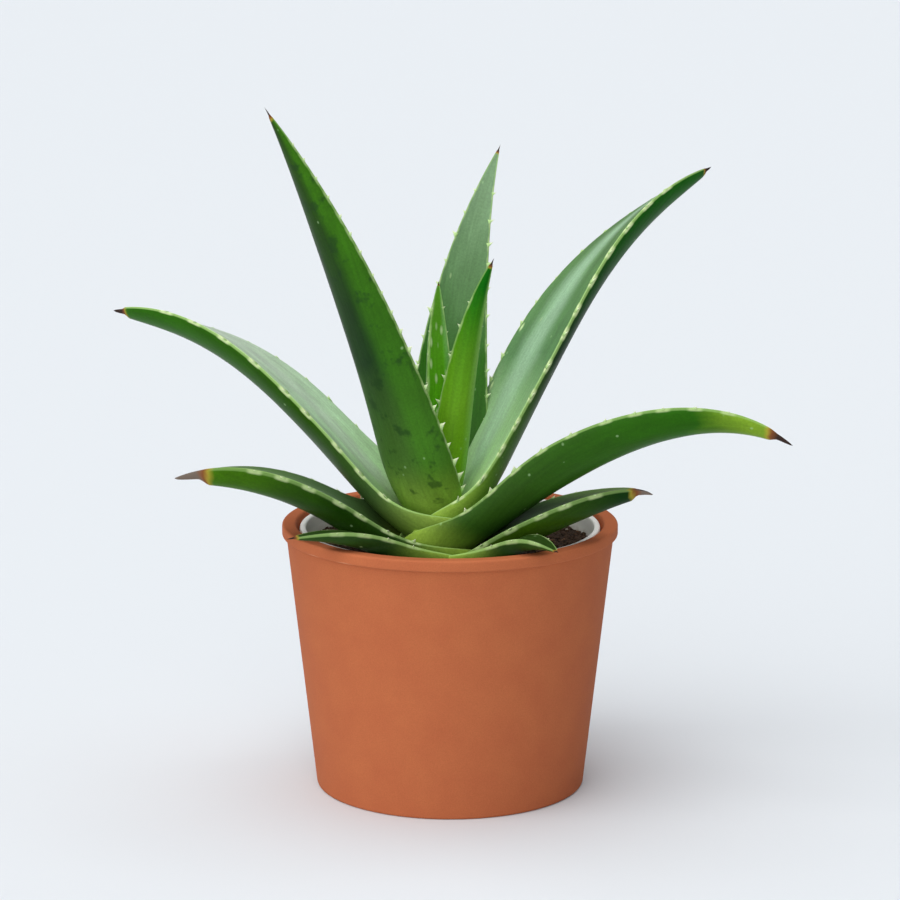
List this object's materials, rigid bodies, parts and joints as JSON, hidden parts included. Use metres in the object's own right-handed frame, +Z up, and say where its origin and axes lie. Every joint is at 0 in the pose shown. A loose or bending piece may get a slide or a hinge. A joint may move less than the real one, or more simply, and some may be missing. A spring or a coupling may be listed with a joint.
{
  "type": "potted aloe plant",
  "caption": "Young aloe with long toothed fleshy leaves in a white growing pot, standing in a tapered terracotta cover pot.",
  "frame": {"origin": "centre of the terracotta pot's flat base, on the surface it stands on", "axes": "+Z up along the pot's axis, +X to the right and -Y towards the viewer of the picture"},
  "size_m": [0.293, 0.168, 0.313],
  "materials": {
    "terracotta": "matte fired clay",
    "white_plastic": "smooth white",
    "potting_soil": "crumbly, matte",
    "stem_flesh": "dull",
    "leaf_green": "waxy satin",
    "leaf_grey_green": "waxy satin with a bluish bloom"
  },
  "bodies": {
    "root": {"cover_pot": "terracotta", "inner_pot": "white_plastic", "soil": "potting_soil", "stem": "stem_flesh", "leaf_heart": "leaf_green", "leaf_spotted": "leaf_green", "leaf_back": "leaf_grey_green", "leaf_tall": "leaf_green", "leaf_right_high": "leaf_grey_green", "leaf_left_high": "leaf_grey_green", "leaf_right_long": "leaf_green", "leaf_left_low": "leaf_green", "leaf_right_low": "leaf_green", "leaf_front_left": "leaf_green", "leaf_front_right": "leaf_green"}
  },
  "joints": []
}
